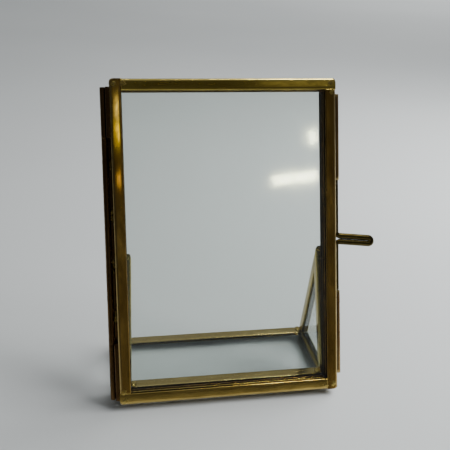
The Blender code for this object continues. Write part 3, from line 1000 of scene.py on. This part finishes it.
def room_brightness(tree):
    """Dim to the left and in front, brighter to the right, behind and overhead, with soft patches."""
    def add(kind, **settings):
        node = tree.nodes.new(kind)
        for key, value in settings.items():
            setattr(node, key, value)
        return node

    def span(value, low, high, top):
        node = add("ShaderNodeMapRange", interpolation_type="SMOOTHSTEP")
        tree.links.new(value, node.inputs["Value"])
        for key, number in (("From Min", low), ("From Max", high), ("To Min", 0.0), ("To Max", top)):
            node.inputs[key].default_value = number
        return node.outputs[0]

    def plus(first, second):
        node = add("ShaderNodeMath", operation="ADD")
        tree.links.new(first, node.inputs[0])
        tree.links.new(second, node.inputs[1])
        return node.outputs[0]

    place = add("ShaderNodeTexCoord").outputs["Generated"]
    parts = add("ShaderNodeSeparateXYZ")
    patches = add("ShaderNodeTexNoise")
    patches.inputs["Scale"].default_value = 3.2
    patches.inputs["Detail"].default_value = 2
    tree.links.new(place, parts.inputs[0])
    tree.links.new(place, patches.inputs["Vector"])
    across = span(parts.outputs["X"], *ROOM_RIGHT)
    above = span(parts.outputs["Z"], *ROOM_TOP)
    behind = span(parts.outputs["Y"], *ROOM_BACK)
    cloudy = span(patches.outputs["Fac"], 0.38, 0.7, ROOM_PATCHES)
    lit = add("ShaderNodeMath", operation="ADD")
    tree.links.new(plus(plus(across, above), plus(behind, cloudy)), lit.inputs[0])
    lit.inputs[1].default_value = ROOM_BASE
    return lit.outputs[0]


def add_world():
    """Pale surroundings for the camera; for lighting and reflections a dim room."""
    world = bpy.data.worlds.new("studio")
    bpy.context.scene.world = world
    world.use_nodes = True
    tree = world.node_tree
    room = tree.nodes["Background"]
    path = tree.nodes.new("ShaderNodeLightPath")
    share = tree.nodes.new("ShaderNodeMapRange")
    share.inputs["To Min"].default_value = 1.0
    share.inputs["To Max"].default_value = ROOM_AS_LIGHT
    tree.links.new(path.outputs["Is Diffuse Ray"], share.inputs["Value"])
    strength = tree.nodes.new("ShaderNodeMath")
    strength.operation = "MULTIPLY"
    tree.links.new(room_brightness(tree), strength.inputs[0])
    tree.links.new(share.outputs[0], strength.inputs[1])
    tree.links.new(strength.outputs[0], room.inputs["Strength"])
    room.inputs["Color"].default_value = ROOM_COLOUR
    pale = tree.nodes.new("ShaderNodeBackground")
    pale.inputs["Color"].default_value = BACKGROUND
    either = tree.nodes.new("ShaderNodeMixShader")
    tree.links.new(path.outputs["Is Camera Ray"], either.inputs[0])
    tree.links.new(room.outputs[0], either.inputs[1])
    tree.links.new(pale.outputs[0], either.inputs[2])
    tree.links.new(either.outputs[0], tree.nodes["World Output"].inputs["Surface"])


def add_lights():
    """Soft daylight from the right and overhead, and the lamps mirrored in the glass and the brass."""
    add_world()
    sun_light("key_sun", (-0.75, 0.3, -0.6), 1.0, 20)
    sun_light("sky_sun", (0, 0.1, -1), 0.2, 150)
    area_light("right_fill", (0.5, 0.12, 0.46), (0.1, 0.05, 0), 0.5, 0.5, 8, seen=("diffuse",))
    area_light("back_fill", (1.3, 1.7, 1.1), (0.5, 1.5, 0), 1.2, 1.2, 22, seen=("diffuse",))
    area_light("overhead_box", (0.34, 0.16, 1.0), (0.04, 0.02, 0.12), 0.22, 0.3, 6.0, (1, 0.98, 0.84),
               seen=("glossy",))
    streak = reflected_lamp("tube_lamp", 92 * MM, 109.6 * MM, 0.135, 0.024, 85, LAMP_YELLOW)
    spot = reflected_lamp("round_lamp", 102 * MM, 130 * MM, 0.036, 0.036, 70, LAMP_YELLOW)
    light_only((streak, spot), "lamps_in_rear_glass", ("rear_glass",))
    stile = 4.8 * MM
    top = reflected_lamp("stile_lamp_top", stile, 145 * MM, 6 * MM, 12 * MM, 2.8, (0.92, 1, 0.62), CLOSE)
    high = reflected_lamp("stile_lamp_high", stile, 133 * MM, 7 * MM, 10 * MM, 6.0, (0.95, 1, 0.04), CLOSE)
    low = reflected_lamp("stile_lamp_low", stile, 111 * MM, 6 * MM, 7 * MM, 3.0, (1, 0.8, 0.2), CLOSE)
    light_only((top, high, low), "lamps_in_left_stile", ("door_left_channel_fold",))
    rail = reflected_lamp("rail_lamp", 90 * MM, 156.5 * MM, 50 * MM, 14 * MM, 0.3, (1, 1, 0.75), 2 * CLOSE)
    light_only((rail,), "lamp_in_top_rail", ("door_top_channel_fold",))


def add_camera():
    """A camera that looks down at the object from the front, a little from the left."""
    data = bpy.data.cameras.new("camera")
    data.lens = CAMERA_LENS
    data.sensor_width = CAMERA_SENSOR
    data.clip_start = 0.01
    camera = bpy.data.objects.new("camera", data)
    turn = (Matrix.Rotation(CAMERA_YAW, 4, "Z") @ Matrix.Rotation(CAMERA_PITCH, 4, "X")
            @ Matrix.Rotation(CAMERA_ROLL, 4, "Y"))
    camera.matrix_world = Matrix.Translation(CAMERA_PLACE) @ turn @ Matrix.Rotation(math.pi / 2, 4, "X")
    bpy.context.scene.collection.objects.link(camera)
    bpy.context.scene.camera = camera


def main():
    add_camera()
    framed_pane("door", "door")
    framed_pane("rear", "stand")
    glass_base()
    side_triangle("left_side")
    side_triangle("right_side")
    solder_lumps()
    knuckle("door_lower_knuckle", "door")
    knuckle("door_upper_knuckle", "door")
    knuckle("rear_middle_knuckle", "stand")
    pin()
    door_back = extent("door_right_channel", BACK)[1]
    rear_front = extent("rear_right_channel", BACK)[0]
    latch_tube("rear_latch_tube", "stand", rear_front + TUBE_LUMP_DEPTH)
    latch_tube("door_latch_tube", "door", door_back - TUBE_LUMP_DEPTH)
    bolt()
    dress_glass()
    add_floor()
    add_lights()


main()
